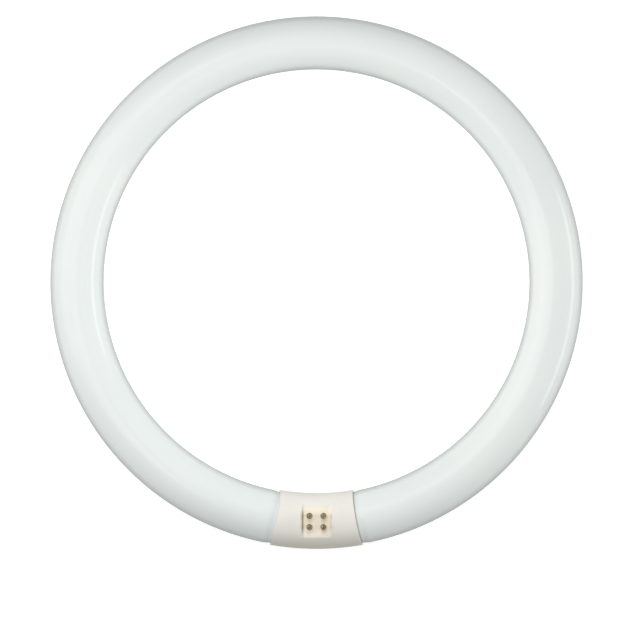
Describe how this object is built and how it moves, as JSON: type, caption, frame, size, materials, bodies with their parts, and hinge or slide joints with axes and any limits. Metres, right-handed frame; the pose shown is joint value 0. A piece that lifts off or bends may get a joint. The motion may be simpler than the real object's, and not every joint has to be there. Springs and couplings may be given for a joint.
{
  "type": "circular fluorescent tube",
  "caption": "Ring-shaped fluorescent lamp tube of white coated glass, closed by a cream moulded cap with a recess that holds its brass contact pins.",
  "frame": {"origin": "on the ring's axis, level with the lowest point of the cap, so that the tube lies on z = 0", "axes": "+Z along the ring's axis, the way the pins point; the cap is at -Y and the ring is symmetric about X = 0"},
  "size_m": [0.305, 0.3056, 0.0359],
  "materials": {
    "coated_glass": "gloss",
    "cap_plastic": "satin",
    "pin_brass": "satin",
    "lead_wire": "satin"
  },
  "bodies": {
    "root": {"glass_tube": "coated_glass", "cap_front": "cap_plastic", "cap_rear": "cap_plastic", "pin_left_outer": "pin_brass", "pin_left_inner": "pin_brass", "pin_right_outer": "pin_brass", "pin_right_inner": "pin_brass", "lead_left_outer": "lead_wire", "lead_left_inner": "lead_wire", "lead_right_outer": "lead_wire", "lead_right_inner": "lead_wire"}
  },
  "joints": []
}
